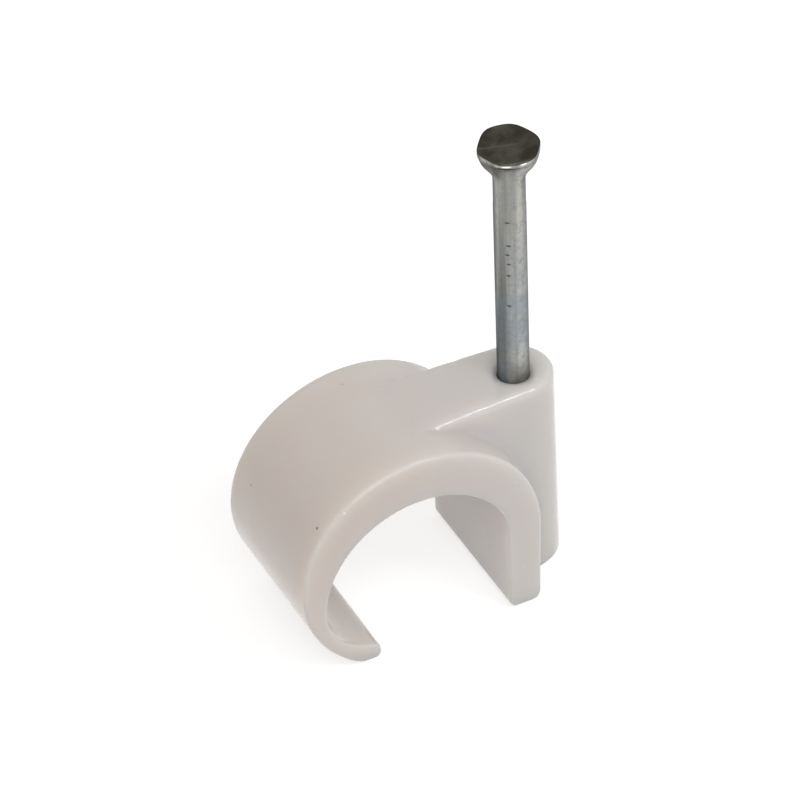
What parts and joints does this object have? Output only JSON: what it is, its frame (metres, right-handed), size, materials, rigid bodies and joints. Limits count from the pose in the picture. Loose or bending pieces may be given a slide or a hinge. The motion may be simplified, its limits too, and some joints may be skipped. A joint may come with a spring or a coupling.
{
  "type": "cable clip",
  "caption": "Round cable clip in moulded plastic: an open arch hooks over a cable, and a masonry nail stands in a boss beside it.",
  "frame": {"origin": "middle of the footprint, on the plane of the feet that rest on the wall", "axes": "+Z away from the wall, along the nail; +X towards the nail; +Y along the cable"},
  "size_m": [0.0296, 0.0154, 0.0472],
  "materials": {
    "white_plastic": "smooth moulded, slightly translucent",
    "zinc_plated_steel": "drawn and zinc plated"
  },
  "bodies": {
    "root": {"clip_body": "white_plastic", "nail": "zinc_plated_steel"}
  },
  "joints": []
}
